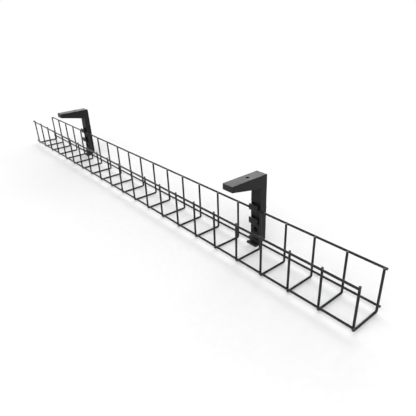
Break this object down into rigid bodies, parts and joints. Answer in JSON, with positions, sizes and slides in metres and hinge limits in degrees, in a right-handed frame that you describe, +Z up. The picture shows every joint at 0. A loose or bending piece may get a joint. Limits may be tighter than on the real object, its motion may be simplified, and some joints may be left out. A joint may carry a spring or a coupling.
{
  "type": "cable tray",
  "caption": "Long open wire-mesh cable tray with U-shaped ribs, hooked onto two L-shaped under-desk brackets and able to swing forward for loading.",
  "frame": {"origin": "on the brackets' top faces, midway between the two desk screw holes", "axes": "+X along the tray, +Y from the tray towards the brackets' uprights, +Z up towards the desk"},
  "size_m": [1.25, 0.0881, 0.1447],
  "materials": {
    "wire": "black powder coat, slightly glossy",
    "bracket": "matte moulded black plastic"
  },
  "bodies": {
    "brackets": {"left_bracket": "bracket", "right_bracket": "bracket"},
    "basket": {"rib_01": "wire", "rib_02": "wire", "rib_03": "wire", "rib_04": "wire", "rib_05": "wire", "rib_06": "wire", "rib_07": "wire", "rib_08": "wire", "rib_09": "wire", "rib_10": "wire", "rib_11": "wire", "rib_12": "wire", "rib_13": "wire", "rib_14": "wire", "rib_15": "wire", "rib_16": "wire", "rib_17": "wire", "rib_18": "wire", "rib_19": "wire", "rib_20": "wire", "rib_21": "wire", "rib_22": "wire", "front_top_rail": "wire", "front_bottom_rail": "wire", "back_bottom_rail": "wire", "back_top_rail": "wire"}
  },
  "joints": [
    {"name": "basket_swing", "type": "hinge", "parent": "brackets", "child": "basket", "pos_m": [0, 0.0187, -0.0675], "axis": [-1, 0, 0], "range_deg": [0, 45]}
  ]
}
